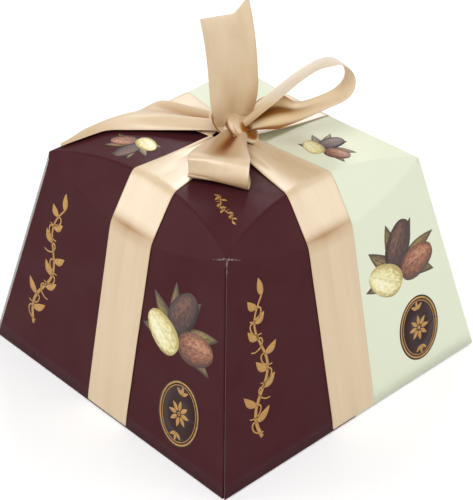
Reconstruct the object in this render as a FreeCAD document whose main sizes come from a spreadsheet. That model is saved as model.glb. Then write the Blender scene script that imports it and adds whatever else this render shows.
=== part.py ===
"""Gift box of chocolates: a folded board cover with a curved-crease top and a tied
ribbon, lifted straight off a low tray of truffles.

Frame: origin at the middle of the bottom, millimetres, +Z up, front towards -Y.
"""
import FreeCAD, Part
import math
import os
import Sketcher

Vector = FreeCAD.Vector

doc = FreeCAD.newDocument("gift_box")

# Driving sizes, in millimetres unless the note says otherwise
SIZES = [
    ("base_side", 150.0, "cover, outside width at its bottom edge"),
    ("top_side", 108.0, "cover, width between the four top points"),
    ("corner_height", 96.0, "top points above the table"),
    ("floor_gap", 0.8, "cover edge above the table, room for the turned ribbon"),
    ("wall_dip", 14.0, "curved wall crease, depth at the middle"),
    ("top_inset", 10.4, "top panel's curved edge, depth at the middle"),
    ("top_rise", 6.4, "flat middle of the top panel above the points"),
    ("board", 0.6, "cover and tray board"),
    ("crease_gap", 0.1, "slit left along a scored crease"),
    ("seam_gap", 0.2, "slit left along a glued corner"),
    ("corner_gap", 0.8, "panels stop this short of a top point"),
    ("tab_width", 12.0, "glue tab of the cover"),
    ("tab_set_back", 9.0, "glue tab's ends from the wall's ends"),
    ("tray_gap", 0.3, "play between tray wall and cover's glue tab"),
    ("tray_depth", 16.0, "tray wall, height"),
    ("tray_tab_width", 9.0, "glue tab of the tray"),
    ("tray_tab_set_back", 2.5, "tray tab's ends from the wall's ends"),
    ("divider_height", 14.0, "divider strips"),
    ("divider_board", 0.5, "divider strips, thickness"),
    ("slot_gap", 0.12, "play in a halving slot"),
    ("cell_count", 4, "count of cells along each side"),
    ("cup_height", 13.0, "paper cup"),
    ("cup_rim", 31.0, "paper cup, diameter over the flutes at the rim"),
    ("cup_foot", 21.0, "paper cup, diameter over the flutes at the floor"),
    ("cup_paper", 0.25, "paper cup, thickness"),
    ("cup_flutes", 20, "count of flutes round a cup"),
    ("flute_share", 0.05, "depth of a flute over the radius"),
    ("truffle_across", 26.0, "truffle, greatest diameter"),
    ("truffle_foot", 12.0, "truffle, diameter of its flat foot"),
    ("truffle_waist", 12.0, "height of a truffle's greatest diameter"),
    ("rest_gap", 0.05, "slit between two pieces that lie on each other"),
    ("ribbon_width", 25.0, "satin ribbon"),
    ("ribbon_cloth", 0.4, "satin ribbon, thickness"),
    ("ribbon_turn_up", 12.0, "ribbon's glued end inside the cover"),
    ("ribbon_waist", 13.0, "ribbon's gathered width at the knot"),
    ("bow_waist", 9.0, "gathered width of the loops and tails at the knot"),
    ("gather_start", 40.0, "gathering starts this far from the middle"),
    ("strand_lift", 1.2, "strands rise this much on their way to the knot"),
    ("knot_length", 15.0, "knot, along the bow"),
    ("knot_across", 13.0, "knot, greatest diameter"),
    ("knot_end", 10.0, "knot, diameter of its ends"),
    ("bow_turn", 47.0, "bow's line in plan, degrees from +X"),
    ("bow_lean", 30.0, "side loop leans back, degrees from upright"),
    ("loop_reach", 42.5, "side loop, knot to the centre of its end"),
    ("loop_angle", 25.0, "side loop rises, degrees in its own plane"),
    ("loop_end", 9.0, "side loop, radius of its end"),
    ("nose_reach", 28.5, "front loop, knot to the centre of its end"),
    ("nose_angle", -3.0, "front loop droops, degrees"),
    ("nose_turn", 22.0, "front loop turned from square to the bow, degrees"),
    ("nose_end", 4.0, "front loop, radius of its end"),
    ("loop_root", 3.0, "loop's two strands start this far from the knot's middle"),
    ("root_half", 1.2, "half the space between a loop's strands at the knot"),
    ("full_width_share", 0.35, "share of a loop that is gathered"),
    ("tail_width_share", 0.3, "share of the upright tail that is gathered"),
    ("tail_length", 54.5, "upright tail, from the knot's middle"),
    ("tail_lean", 8.0, "upright tail leans back, degrees from upright"),
    ("tail_turn", 35.0, "upright tail turned from the bow's line, degrees"),
    ("tail_curl", 120.0, "radius of the tails' lengthwise curl"),
    ("tail_notch", 4.5, "depth of the tails' swallow cut"),
    ("low_length", 50.0, "low tail, from the knot's middle"),
    ("low_width_share", 0.4, "share of the low tail that is gathered"),
    ("low_fall", 6.0, "low tail falls towards its end, degrees"),
    ("low_roll", 8.0, "low tail tipped about its length, degrees"),
    ("low_turn", -195.0, "low tail turned from the bow's line, degrees"),
]

# Sizes that follow from those above
WORKED = [
    ("half_base", "sizes.base_side / 2"),
    ("half_top", "sizes.top_side / 2"),
    ("wall_run", "worked.half_base - worked.half_top"),
    ("wall_rise", "sizes.corner_height - sizes.floor_gap"),
    ("wall_slant", "sqrt(worked.wall_run ^ 2 + worked.wall_rise ^ 2)"),
    ("wall_tilt", "atan2(worked.wall_rise; worked.wall_run) / 1 deg"),
    ("slope", "worked.wall_run / worked.wall_rise"),
    ("level_board", "sizes.board / sin(worked.wall_tilt)"),
    ("dip_out", "sizes.wall_dip * cos(worked.wall_tilt)"),
    ("dip_down", "sizes.wall_dip * sin(worked.wall_tilt)"),
    ("flap_tilt", "atan2(sizes.top_rise + worked.dip_down; sizes.top_inset + worked.dip_out) / 1 deg"),
    ("flap_low", "worked.dip_out * cos(worked.flap_tilt) + worked.dip_down * sin(worked.flap_tilt)"),
    ("flap_high", "sizes.top_inset * cos(worked.flap_tilt) + sizes.top_rise * sin(worked.flap_tilt)"),
    ("flap_hollow", "worked.dip_down * cos(worked.flap_tilt) - worked.dip_out * sin(worked.flap_tilt)"),
    ("mitre_low", "sizes.board * tan((worked.wall_tilt - worked.flap_tilt) / 2) + sizes.crease_gap"),
    ("mitre_high", "sizes.board * tan(worked.flap_tilt / 2) + sizes.crease_gap"),
    ("top_level", "sizes.corner_height + sizes.top_rise"),
    ("panel_mid", "worked.half_top - sizes.top_inset"),
    ("droop_start", "worked.panel_mid / sqrt(2)"),
    ("droop_end", "sizes.top_side / sqrt(2)"),
    ("tray_half", "worked.half_base + sizes.floor_gap * worked.slope"
                  " - 2 * worked.level_board - sizes.tray_gap / sin(worked.wall_tilt)"),
    ("tray_foot", "sizes.board + sizes.rest_gap + sizes.board * cos(worked.wall_tilt)"),
    ("tray_slant", "sizes.tray_depth / sin(worked.wall_tilt)"),
    ("tray_low", "worked.tray_half - worked.tray_foot * worked.slope"),
    ("tray_high", "worked.tray_low - sizes.tray_depth * worked.slope"),
    ("divider_foot", "sizes.board + sizes.rest_gap"),
    ("divider_top", "worked.divider_foot + sizes.divider_height"),
    ("divider_low", "worked.tray_half - worked.divider_foot * worked.slope"
                    " - worked.level_board - sizes.rest_gap"),
    ("divider_high", "worked.divider_low - sizes.divider_height * worked.slope"),
    ("pitch", "2 * worked.divider_high / sizes.cell_count"),
    ("truffle_under", "((sizes.truffle_across - sizes.truffle_foot) ^ 2 / 4 + sizes.truffle_waist ^ 2)"
                      " / (sizes.truffle_across - sizes.truffle_foot)"),
    ("truffle_over", "sizes.truffle_across / 2"),
    ("bowed", "1 - (sizes.ribbon_width / sizes.top_side) ^ 2"),
    ("strand_end", "sizes.ribbon_waist / 2 + sizes.rest_gap"),
    ("knot_level", "worked.top_level + sizes.knot_across / 2 + sizes.ribbon_cloth"),
    ("loop_flare", "asin((sizes.loop_end - sizes.root_half) / (sizes.loop_reach - sizes.loop_root)) / 1 deg"),
    ("nose_flare", "asin((sizes.nose_end - sizes.root_half) / (sizes.nose_reach - sizes.loop_root)) / 1 deg"),
]

SIDES = [("front", 0), ("right", 90), ("back", 180), ("left", -90)]


def make_sheet(name, rows):
    """A spreadsheet with one named cell in each row."""
    made = doc.addObject("Spreadsheet::Sheet", name)
    for number, (alias, content) in enumerate(rows, start=1):
        cell = "A%d" % number
        made.set(cell, content)
        made.setAlias(cell, alias)
    doc.recompute()
    return made


sizes = make_sheet("sizes", [(alias, str(value)) for alias, value, _ in SIZES])
worked = make_sheet("worked", [(alias, "=" + text) for alias, text in WORKED])


def value(expression):
    """Number that an expression over the two sheets gives."""
    found = sizes.evalExpression(expression)
    return float(getattr(found, "Value", found))


def put(thing, across="0", along="0", up="0", yaw="0", pitch="0", roll="0"):
    """Bind an object's place: rolled about X, pitched about Y, turned about Z, then moved."""
    thing.setExpression("Placement.Base.x", across)
    thing.setExpression("Placement.Base.y", along)
    thing.setExpression("Placement.Base.z", up)
    thing.setExpression("Placement.Rotation.Yaw", yaw)
    thing.setExpression("Placement.Rotation.Pitch", pitch)
    thing.setExpression("Placement.Rotation.Roll", roll)


def put_on_side(thing, side, out, up, roll):
    """Bind an object's place on one of the four sides, at a distance out from the middle."""
    put(thing, "(%s) * sin(%d)" % (out, side), "-(%s) * cos(%d)" % (out, side), up, str(side), roll=roll)


def draw(sketch, corners, closed=True):
    """Lines and arcs through corners; a corner is (x, y) or (x, y, radius, turn).

    The radius belongs to the arc that leaves the corner; turn is 1 when it goes
    anticlockwise and -1 when it goes clockwise. Every number is bound to the sheets.
    """
    spots = [Vector(value(corner[0]), value(corner[1]), 0) for corner in corners]
    first = len(sketch.Geometry)
    count = len(corners) if closed else len(corners) - 1
    ends = []
    for index in range(count):
        here = spots[index]
        there = spots[(index + 1) % len(spots)]
        if len(corners[index]) == 2:
            sketch.addGeometry(Part.LineSegment(here, there), False)
            ends.append((1, 2))
            continue
        radius = value(corners[index][2])
        turn = corners[index][3]
        chord = there - here
        reach = math.sqrt(max(radius ** 2 - chord.Length ** 2 / 4, 0))
        middle = (here + there) * 0.5 + Vector(-chord.y, chord.x, 0).normalize() * reach * turn
        start, stop = (here, there) if turn > 0 else (there, here)
        angles = [math.atan2(spot.y - middle.y, spot.x - middle.x) for spot in (start, stop)]
        circle = Part.Circle(middle, Vector(0, 0, 1), radius)
        sketch.addGeometry(Part.ArcOfCircle(circle, angles[0], angles[1]), False)
        ends.append((1, 2) if turn > 0 else (2, 1))
    for index in range(count if closed else count - 1):
        after = (index + 1) % count
        sketch.addConstraint(Sketcher.Constraint(
            "Coincident", first + index, ends[index][1], first + after, ends[after][0]))
    for index, corner in enumerate(corners):
        edge, end = (index, 0) if index < count else (index - 1, 1)
        point = (first + edge, ends[edge][end])
        for kind, axis, text in (("DistanceX", -2, corner[0]), ("DistanceY", -1, corner[1])):
            if text == "0":
                sketch.addConstraint(Sketcher.Constraint("PointOnObject", point[0], point[1], axis))
                continue
            size = value(text)
            number = sketch.addConstraint(Sketcher.Constraint(kind, -1, 1, point[0], point[1], size))
            sketch.setExpression("Constraints[%d]" % number, text)
        if index < count and len(corner) > 2:
            number = sketch.addConstraint(Sketcher.Constraint("Radius", first + index, value(corner[2])))
            sketch.setExpression("Constraints[%d]" % number, corner[2])


def mirrored(right):
    """Outline from its right half, listed upwards: the left half is its mirror image."""
    left = [("-(%s)" % corner[0],) + tuple(corner[1:2]) for corner in reversed(right)]
    return left[-1:] + list(right) + left[:-1]


def body_sketch(body, corners, role="XY_Plane", lower=None):
    """Sketch on one of the body's own planes."""
    sketch = body.newObject("Sketcher::SketchObject", body.Label + "_sketch")
    plane = [part for part in body.Origin.OriginFeatures if part.Role == role][0]
    sketch.AttachmentSupport = (plane, "")
    sketch.MapMode = "FlatFace"
    if lower:
        sketch.setExpression("AttachmentOffset.Base.z", lower)
    draw(sketch, corners)
    return sketch


def panel(label, corners, thickness, lower=None, middle=False):
    """Flat sheet: its outline padded inwards from its outer face, or from its middle."""
    body = doc.addObject("PartDesign::Body", label)
    pad = body.newObject("PartDesign::Pad", label + "_pad")
    pad.Profile = body_sketch(body, corners, lower=lower)
    pad.setExpression("Length", thickness)
    if middle:
        pad.SideType = "Symmetric"
    else:
        pad.Reversed = True
    body.Tip = pad
    return body


def loose_sketch(label, corners, closed, place):
    """Sketch placed in the frame by itself."""
    sketch = doc.addObject("Sketcher::SketchObject", label)
    draw(sketch, corners, closed)
    put(sketch, **place)
    return sketch


def rolled(place, more):
    """The same place, rolled on by some degrees about its own X."""
    return dict(place, roll="(%s) + (%d)" % (place["roll"], more))


def strip(label, path, thickness, width, place):
    """Bent sheet: a path thickened to its right and drawn out to both sides."""
    band = doc.addObject("Part::Offset2D", label + "_band")
    band.Source = loose_sketch(label + "_path", path, False, place)
    band.Fill = True
    band.Mode = "Skin"
    band.Join = "Intersection"
    band.setExpression("Value", thickness)
    doc.recompute()
    if not on_right(band, path, value(thickness)):
        band.setExpression("Value", "-(%s)" % thickness)
    drawn = doc.addObject("Part::Extrusion", label + "_strip")
    drawn.Base = band
    drawn.DirMode = "Normal"
    drawn.Solid = True
    drawn.setExpression("LengthFwd", "(%s) / 2" % width)
    drawn.setExpression("LengthRev", "(%s) / 2" % width)
    return drawn


def on_right(band, path, thickness):
    """Whether a band lies to the right of its path's first edge."""
    place = band.Source.Placement
    start, stop = [Vector(value(corner[0]), value(corner[1]), 0) for corner in path[:2]]
    sideways = (stop - start).normalize().cross(Vector(0, 0, 1))
    edge = band.Source.Geometry[0]
    middle = edge.value((edge.FirstParameter + edge.LastParameter) / 2)
    probe = Part.Vertex(place.multVec(middle + sideways * thickness / 2))
    return probe.distToShape(band.Shape)[0] < thickness / 4


def prism(label, outline, place):
    """Tall block over an outline, to trim a bent sheet to its shape."""
    block = doc.addObject("Part::Extrusion", label + "_block")
    block.Base = loose_sketch(label + "_outline", outline, True, place)
    block.DirMode = "Normal"
    block.Solid = True
    block.setExpression("LengthFwd", "sizes.base_side")
    block.setExpression("LengthRev", "sizes.base_side")
    return block


def pair(kind, label, base, tool):
    """Boolean of two objects."""
    made = doc.addObject(kind, label)
    made.Base = base
    made.Tool = tool
    return made


def group(label, members):
    """Alike pieces that share one node."""
    made = doc.addObject("Part::Compound", label)
    made.Links = members
    return made


nodes = []


def keep(thing, label):
    """Name a sub-part and list it for the export."""
    thing.Label = label
    nodes.append(thing)
    return thing


# Tray: base, four walls that lean in like the cover's, and glued corner tabs
def square(half):
    return mirrored([(half, "-(%s)" % half), (half, half)])


base = panel("tray_base", square("worked.tray_half"), "sizes.board")
put(base, up="sizes.board")
keep(base, "tray_base")

for name, side in SIDES:
    trim = "0" if name in ("right", "left") else "(worked.level_board + sizes.seam_gap)"
    outline = mirrored([
        ("worked.tray_low - %s" % trim, "0"),
        ("worked.tray_high - %s" % trim, "worked.tray_slant"),
    ])
    wall = panel("tray_%s_wall" % name, outline, "sizes.board")
    put_on_side(wall, side, "worked.tray_low", "worked.tray_foot", "worked.wall_tilt")
    keep(wall, "tray_%s_wall" % name)


def corner_tabs(label, low, high, slant, set_back, width, out, up):
    """Four glue tabs on the inner faces of the right and left walls."""
    edge = "(%s) - (%s) * (%s) / (%s)"
    drop = "((%s) - (%s))" % (low, high)
    corner = "worked.level_board + sizes.seam_gap + sizes.board"
    foot = edge % (low, drop, set_back, slant) + " - (%s)" % corner
    head = edge % (low, drop, "%s - %s" % (slant, set_back), slant) + " - (%s)" % corner
    top = "%s - %s" % (slant, set_back)
    tabs = []
    for name, side in SIDES:
        if name in ("front", "back"):
            continue
        for hand, sign in (("near", "-"), ("far", "")):
            outline = [
                (sign + "(%s)" % foot, set_back),
                (sign + "(%s)" % head, top),
                (sign + "(%s - %s)" % (head, width), "%s - %s" % (top, width)),
                (sign + "(%s - %s)" % (foot, width), "%s + %s / 2" % (set_back, width)),
            ]
            tab = panel("%s_%s_%s" % (label, name, hand), outline, "sizes.board",
                        lower="-sizes.board - sizes.rest_gap")
            put_on_side(tab, side, out, up, "worked.wall_tilt")
            tabs.append(tab)
    return keep(group(label, tabs), label)


corner_tabs("tray_glue_tabs", "worked.tray_low", "worked.tray_high", "worked.tray_slant",
            "sizes.tray_tab_set_back", "sizes.tray_tab_width / 2", "worked.tray_low", "worked.tray_foot")


# Dividers: strips halved into each other, slots from the top one way and from below the other
def divider(label, yaw, shift, from_top):
    body = panel(label, mirrored([
        ("worked.divider_low", "0"),
        ("worked.divider_high", "sizes.divider_height"),
    ]), "sizes.divider_board", middle=True)
    slot = "(sizes.divider_board + sizes.slot_gap) / 2"
    if from_top:
        ends = ("(sizes.divider_height - sizes.slot_gap) / 2", "sizes.divider_height + sizes.slot_gap")
    else:
        ends = ("-sizes.slot_gap", "(sizes.divider_height + sizes.slot_gap) / 2")
    first = "-worked.pitch * (sizes.cell_count / 2 - 1)"
    cut = body.newObject("PartDesign::Pocket", label + "_slot")
    cut.Profile = body_sketch(body, [
        ("%s - %s" % (first, slot), ends[0]),
        ("%s + %s" % (first, slot), ends[0]),
        ("%s + %s" % (first, slot), ends[1]),
        ("%s - %s" % (first, slot), ends[1]),
    ])
    cut.SideType = "Symmetric"
    cut.setExpression("Length", "sizes.divider_height")
    row = body.newObject("PartDesign::LinearPattern", label + "_row")
    row.Originals = [cut]
    row.Direction = ([part for part in body.Origin.OriginFeatures if part.Role == "X_Axis"][0], [""])
    row.Occurrences = round(value("sizes.cell_count")) - 1
    row.setExpression("Length", "worked.pitch * (sizes.cell_count - 2)")
    body.Tip = row
    place = {"along": shift} if yaw == "0" else {"across": shift}
    put(body, up="worked.divider_foot", yaw=yaw, roll="90", **place)
    return keep(body, label)


cells = round(value("sizes.cell_count"))
for number in range(1, cells):
    spot = "worked.pitch * (%d - sizes.cell_count / 2)" % number
    divider("divider_across_%d" % number, "0", spot, True)
for number in range(1, cells):
    spot = "worked.pitch * (%d - sizes.cell_count / 2)" % number
    divider("divider_along_%d" % number, "90", spot, False)


# Paper cups: pleated cones with a floor
def pleated(radius, level):
    """Zigzag ring of a cup; every ring is a scaled copy, so the pleats stay flat."""
    turns = 2 * round(value("sizes.cup_flutes"))
    spots = []
    for step in range(turns):
        reach = radius * (1 - value("sizes.flute_share") * (step % 2))
        angle = 2 * math.pi * step / turns
        spots.append(Vector(reach * math.cos(angle), reach * math.sin(angle), level))
    return Part.makePolygon(spots + spots[:1])


def cup_shape():
    foot = value("sizes.cup_foot / 2")
    rim = value("sizes.cup_rim / 2")
    height = value("sizes.cup_height")
    paper = value("sizes.cup_paper")
    flare = (rim - foot) / height
    outer = Part.makeLoft([pleated(foot, 0), pleated(rim, height)], True, True)
    inner = Part.makeLoft([pleated(foot + flare * paper - paper, paper),
                           pleated(rim + flare * paper - paper, height + paper)], True, True)
    return outer.cut(inner)


cup = doc.addObject("Part::Feature", "cup_pattern")
cup.Shape = cup_shape()

truffle = doc.addObject("PartDesign::Body", "truffle_pattern")
turned = truffle.newObject("PartDesign::Revolution", "truffle_turned")
turned.Profile = body_sketch(truffle, [
    ("0", "0"),
    ("sizes.truffle_foot / 2", "0", "worked.truffle_under", 1),
    ("sizes.truffle_across / 2", "sizes.truffle_waist", "worked.truffle_over", 1),
    ("0", "sizes.truffle_waist + worked.truffle_over"),
], role="XZ_Plane")
turned.ReferenceAxis = (turned.Profile[0], ["V_Axis"])
truffle.Tip = turned
doc.recompute()

# Three kinds of truffle, laid out in slanting rows
KINDS = ["dark", "milk", "white"]
cups = []
truffles = {kind: [] for kind in KINDS}
for row in range(cells):
    for column in range(cells):
        across = "worked.pitch * (%d - (sizes.cell_count - 1) / 2)" % column
        along = "worked.pitch * (%d - (sizes.cell_count - 1) / 2)" % row
        kind = KINDS[(row + column) % len(KINDS)]
        for pattern, rows, up in (
            (cup, cups, "worked.divider_foot"),
            (truffle, truffles[kind], "worked.divider_foot + sizes.cup_paper + sizes.rest_gap"),
        ):
            link = doc.addObject("App::Link", pattern.Name + "_%d_%d" % (row, column))
            link.LinkedObject = pattern
            link.LinkTransform = False
            put(link, across, along, up)
            rows.append(link)
keep(group("paper_cups", cups), "paper_cups")
for kind in KINDS:
    keep(group("truffles_" + kind, truffles[kind]), "truffles_" + kind)

# Cover walls: trapezoids whose top edge is a curved crease
for name, side in SIDES:
    trim = "0" if name in ("right", "left") else "(worked.level_board + sizes.seam_gap)"
    head = "(worked.half_top + worked.wall_run * sizes.corner_gap / worked.wall_slant - %s)" % trim
    sag = "(sizes.wall_dip + worked.mitre_low - sizes.corner_gap)"
    outline = [
        ("-(worked.half_base - %s)" % trim, "0"),
        ("worked.half_base - %s" % trim, "0"),
        (head, "worked.wall_slant - sizes.corner_gap", "(%s ^ 2 + %s ^ 2) / (2 * %s)" % (head, sag, sag), -1),
        ("-%s" % head, "worked.wall_slant - sizes.corner_gap"),
    ]
    wall = panel(name + "_wall", outline, "sizes.board")
    put_on_side(wall, side, "worked.half_base", "sizes.floor_gap", "worked.wall_tilt")
    keep(wall, name + "_wall")

corner_tabs("cover_glue_tabs", "worked.half_base", "worked.half_top", "worked.wall_slant",
            "sizes.tab_set_back", "sizes.tab_width", "worked.half_base", "sizes.floor_gap")

# Top flaps: lens-shaped, hollow along their length, between the wall crease and the top panel
tip = "(worked.half_top - sizes.corner_gap - sizes.board)"
flap_low = "(worked.flap_low - worked.mitre_low)"
flap_high = "(worked.flap_high - worked.mitre_high)"
bend = "(worked.half_top ^ 2 + worked.flap_hollow ^ 2) / (2 * worked.flap_hollow)"
for name, side in SIDES:
    place = {
        "across": "worked.half_top * sin(%d)" % side,
        "along": "-worked.half_top * cos(%d)" % side,
        "up": "sizes.corner_height",
        "yaw": str(side),
        "roll": "worked.flap_tilt + 90",
    }
    hollow = strip(name + "_flap", [
        ("-worked.half_top", "0", bend, 1),
        ("worked.half_top", "0"),
    ], "sizes.board", "4 * sizes.wall_dip", place)
    lens = prism(name + "_flap", [
        ("-%s" % tip, "0", "(%s ^ 2 + %s ^ 2) / (2 * %s)" % (tip, flap_low, flap_low), 1),
        (tip, "0", "(%s ^ 2 + %s ^ 2) / (2 * %s)" % (tip, flap_high, flap_high), 1),
    ], rolled(place, -90))
    keep(pair("Part::Common", name + "_top_flap", hollow, lens), name + "_top_flap")

# Top panel: a flat middle and four drooping points, two bent strips trimmed to one star
droop = "((worked.droop_end - worked.droop_start) ^ 2 + sizes.top_rise ^ 2) / (2 * sizes.top_rise)"
arms = []
for turn in (45, 135):
    arms.append(strip("top_panel_%d" % turn, [
        ("-worked.droop_end", "sizes.corner_height", droop, -1),
        ("-worked.droop_start", "worked.top_level"),
        ("worked.droop_start", "worked.top_level", droop, -1),
        ("worked.droop_end", "sizes.corner_height"),
    ], "sizes.board", "2 * worked.droop_start", {"yaw": str(turn), "roll": "90"}))
point = "(worked.half_top - sizes.corner_gap)"
sag = "(%s - worked.panel_mid + worked.mitre_high)" % point
arc = "(%s ^ 2 + %s ^ 2) / (2 * %s)" % (point, sag, sag)
star = prism("top_panel", [
    ("-" + point, "-" + point, arc, -1),
    (point, "-" + point, arc, -1),
    (point, point, arc, -1),
    ("-" + point, point, arc, -1),
], {})
cross = pair("Part::Fuse", "top_panel_arms", arms[0], arms[1])
keep(pair("Part::Common", "top_panel", cross, star), "top_panel")

# Knot: a barrel lying along the bow, on the crossing of the strands
knot = doc.addObject("PartDesign::Body", "bow_knot")
barrel = knot.newObject("PartDesign::Revolution", "knot_turned")
swell = "((sizes.knot_across - sizes.knot_end) / 2)"
barrel.Profile = body_sketch(knot, [
    ("-sizes.knot_length / 2", "0"),
    ("sizes.knot_length / 2", "0"),
    ("sizes.knot_length / 2", "sizes.knot_end / 2",
     "(sizes.knot_length ^ 2 / 4 + %s ^ 2) / (2 * %s)" % (swell, swell), 1),
    ("-sizes.knot_length / 2", "sizes.knot_end / 2"),
])
barrel.ReferenceAxis = (barrel.Profile[0], ["H_Axis"])
knot.Tip = barrel
put(knot, up="worked.knot_level", yaw="sizes.bow_turn")


def ribbon(label, path, outline, place, beneath=None):
    """Ribbon piece: a bent strip trimmed to its outline, the knot and a piece that lies over it."""
    bent = strip(label, path, "sizes.ribbon_cloth", "sizes.ribbon_width", place)
    shaped = pair("Part::Common", label + "_shaped", bent, prism(label, outline, rolled(place, -90)))
    if beneath:
        shaped = pair("Part::Cut", label + "_trimmed", shaped, beneath)
    return keep(pair("Part::Cut", label, shaped, knot), label)


# Strands: from a glued end inside the cover, round its edge, up the wall and over to the knot
normal = ("sin(worked.wall_tilt)", "cos(worked.wall_tilt)")
climb = ("-cos(worked.wall_tilt)", "sin(worked.wall_tilt)")


def beside(start, off_board, up_wall):
    """Point off the cover's bottom edge: so far out of the board's face and up along it."""
    return tuple("%s + (%s) * %s + (%s) * %s" % (start[axis], off_board, normal[axis], up_wall, climb[axis])
                 for axis in range(2))


edge = ("worked.half_base", "sizes.floor_gap")
inside = "-sizes.board - sizes.rest_gap"
half = "sizes.ribbon_width / 2"
gathered = "sizes.ribbon_waist / 2"
root = "sizes.bow_waist / 2"
far = "worked.half_base + sizes.ribbon_width"
for name, side in SIDES:
    path = [
        beside(edge, inside, "sizes.ribbon_turn_up"),
        beside(edge, inside, "-sizes.rest_gap"),
        beside(edge, "sizes.rest_gap", "-sizes.rest_gap"),
        beside(("worked.half_top + worked.bowed * worked.dip_out",
                "sizes.corner_height - worked.bowed * worked.dip_down"), "sizes.rest_gap", "0"),
        ("worked.half_top - worked.bowed * sizes.top_inset + sizes.rest_gap"
         " - (1 - worked.bowed) * sizes.top_rise / tan(worked.flap_tilt)", "worked.top_level + sizes.rest_gap"),
        ("worked.strand_end", "worked.top_level + sizes.strand_lift"),
    ]
    outline = [
        ("worked.strand_end", "-%s" % gathered),
        ("sizes.gather_start", "-%s" % half),
        (far, "-%s" % half),
        (far, half),
        ("sizes.gather_start", half),
        ("worked.strand_end", gathered),
    ]
    ribbon("ribbon_" + name, path, outline, {"yaw": str(side - 90), "roll": "90"})

keep(knot, "bow_knot")


# Bow loops: two strands from the knot, joined by a round end
def loop(label, reach, angle, flare, end, place):
    upper = "(%s + %s)" % (angle, flare)
    lower = "(%s - %s)" % (angle, flare)

    def spot(distance, radius, turn, sign):
        return ("%s * cos(%s) - %s(%s) * sin(%s)" % (distance, angle, sign, radius, turn),
                "%s * sin(%s) + %s(%s) * cos(%s)" % (distance, angle, sign, radius, turn))

    path = [
        spot("sizes.loop_root", "sizes.root_half", upper, ""),
        spot(reach, end, upper, "") + (end, -1),
        spot(reach, end, lower, "-"),
        spot("sizes.loop_root", "sizes.root_half", lower, "-"),
    ]
    grown = "%s * sizes.full_width_share" % reach
    outline = [
        ("0", "-%s" % root),
        (grown, "-%s" % half),
        ("%s + 2 * %s" % (reach, end), "-%s" % half),
        ("%s + 2 * %s" % (reach, end), half),
        (grown, half),
        ("0", root),
    ]
    return ribbon(label, path, outline, place)


loop("bow_loop_side", "sizes.loop_reach", "sizes.loop_angle", "worked.loop_flare", "sizes.loop_end",
     {"up": "worked.knot_level", "yaw": "sizes.bow_turn", "roll": "90 - sizes.bow_lean"})
loop("bow_loop_front", "sizes.nose_reach", "sizes.nose_angle", "worked.nose_flare", "sizes.nose_end",
     {"up": "worked.knot_level", "yaw": "sizes.bow_turn - sizes.nose_turn - 90", "roll": "90"})


# Bow tails: from the knot, with a swallow cut at the free end
def tail(label, length, share, place, beneath=None):
    path = [("sizes.loop_root", "0", "sizes.tail_curl", -1), (length, "0")]
    grown = "%s * %s" % (length, share)
    outline = [
        ("0", "-%s" % root),
        (grown, "-%s" % half),
        (length, "-%s" % half),
        ("%s - sizes.tail_notch" % length, "0"),
        (length, half),
        (grown, half),
        ("0", root),
    ]
    return ribbon(label, path, outline, place, beneath)


upright = tail("bow_tail_up", "sizes.tail_length", "sizes.tail_width_share", {
    "up": "worked.knot_level", "yaw": "sizes.bow_turn + sizes.tail_turn + 90",
    "pitch": "sizes.tail_lean - 90", "roll": "90"})
tail("bow_tail_low", "sizes.low_length", "sizes.low_width_share", {
    "up": "worked.knot_level", "yaw": "sizes.bow_turn + sizes.low_turn",
    "pitch": "sizes.low_fall", "roll": "90 - sizes.low_roll"}, upright)

doc.recompute()

faults = []
for thing in doc.Objects:
    if any(state in ("Invalid", "Error") for state in thing.State):
        faults.append("%s: %s" % (thing.Label, thing.State))
for thing in nodes:
    shape = thing.Shape
    if shape.isNull() or not shape.isValid() or not shape.Solids:
        faults.append("%s: no valid solid" % thing.Label)
if faults:
    raise RuntimeError("; ".join(faults))

os.makedirs("parts", exist_ok=True)
for thing in nodes:
    shape = thing.Shape
    if len(shape.Solids) == 1:
        shape = shape.Solids[0]
    shape.exportStep("parts/%s.step" % thing.Label)
print("%d nodes" % len(nodes))
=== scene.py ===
"""Pyramid gift carton of truffles, tied with a satin ribbon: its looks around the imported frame."""

import math

import bmesh
import bpy
from mathutils import Matrix, Vector, noise


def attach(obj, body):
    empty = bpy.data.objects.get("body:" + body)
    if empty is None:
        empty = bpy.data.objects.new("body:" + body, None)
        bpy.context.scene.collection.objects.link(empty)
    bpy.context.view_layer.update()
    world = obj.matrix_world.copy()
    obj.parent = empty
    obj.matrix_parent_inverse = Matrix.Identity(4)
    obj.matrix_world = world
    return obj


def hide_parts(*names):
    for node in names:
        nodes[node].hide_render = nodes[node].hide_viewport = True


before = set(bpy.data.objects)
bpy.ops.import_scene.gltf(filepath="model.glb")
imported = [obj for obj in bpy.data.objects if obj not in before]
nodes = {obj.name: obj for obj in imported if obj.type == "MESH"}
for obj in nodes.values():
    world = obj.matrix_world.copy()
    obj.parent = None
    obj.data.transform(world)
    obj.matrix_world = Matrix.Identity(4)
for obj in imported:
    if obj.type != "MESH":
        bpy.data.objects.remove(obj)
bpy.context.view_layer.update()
MM = 0.001

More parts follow.
